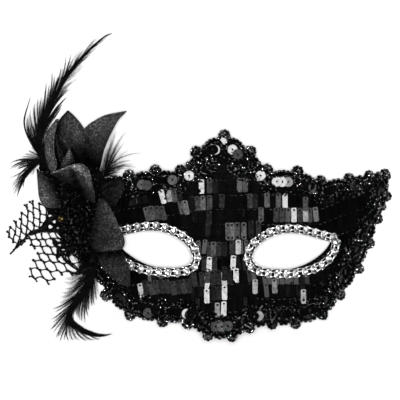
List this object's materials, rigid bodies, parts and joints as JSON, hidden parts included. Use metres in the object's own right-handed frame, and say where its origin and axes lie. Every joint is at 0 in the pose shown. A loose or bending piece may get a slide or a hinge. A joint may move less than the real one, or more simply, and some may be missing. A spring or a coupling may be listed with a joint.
{
  "type": "sequined masquerade half mask",
  "caption": "Curved half mask for the eyes, covered in sequins, with beaded braid edging, stone-set eye bands and a side flower with feathers and netting.",
  "frame": {"origin": "on the table that the mask lies on, under the middle of the whole part", "axes": "+Z out of the mask's face, up from the table; +Y towards the forehead; +X to the right as seen from the front"},
  "size_m": [0.2174, 0.1734, 0.0593],
  "materials": {
    "base_plastic": "thin black moulded plastic, satin, with a fine grain on the inside",
    "sequin": "glossy black plastic sequins sewn in rows on black cloth",
    "seed_bead": "glossy black seed beads and cup sequins on a black braid",
    "rhinestone": "clear cut stones in bright silver cups and rails",
    "petal_fabric": "charcoal satin with a fine sparkling weave",
    "feather": "dyed black feather",
    "net_tulle": "black netting of stiff thread",
    "gold": "small polished gilt bead"
  },
  "bodies": {
    "root": {"mask_base": "base_plastic", "sequin_cloth": "sequin", "beaded_trim": "seed_bead", "rhinestone_band_right": "rhinestone", "rhinestone_band_left": "rhinestone", "petal_top_left": "petal_fabric", "petal_top_right": "petal_fabric", "petal_curled": "petal_fabric", "petal_inner": "petal_fabric", "petal_front": "petal_fabric", "petal_left": "petal_fabric", "petal_right": "petal_fabric", "petal_lower_right": "petal_fabric", "petal_low": "petal_fabric", "feather_tall": "feather", "feather_wisp": "feather", "feather_left": "feather", "feather_right": "feather", "feather_low": "feather", "net_upper": "net_tulle", "net_lower": "net_tulle", "tulle_heart": "net_tulle", "gold_bead": "gold"}
  },
  "joints": []
}
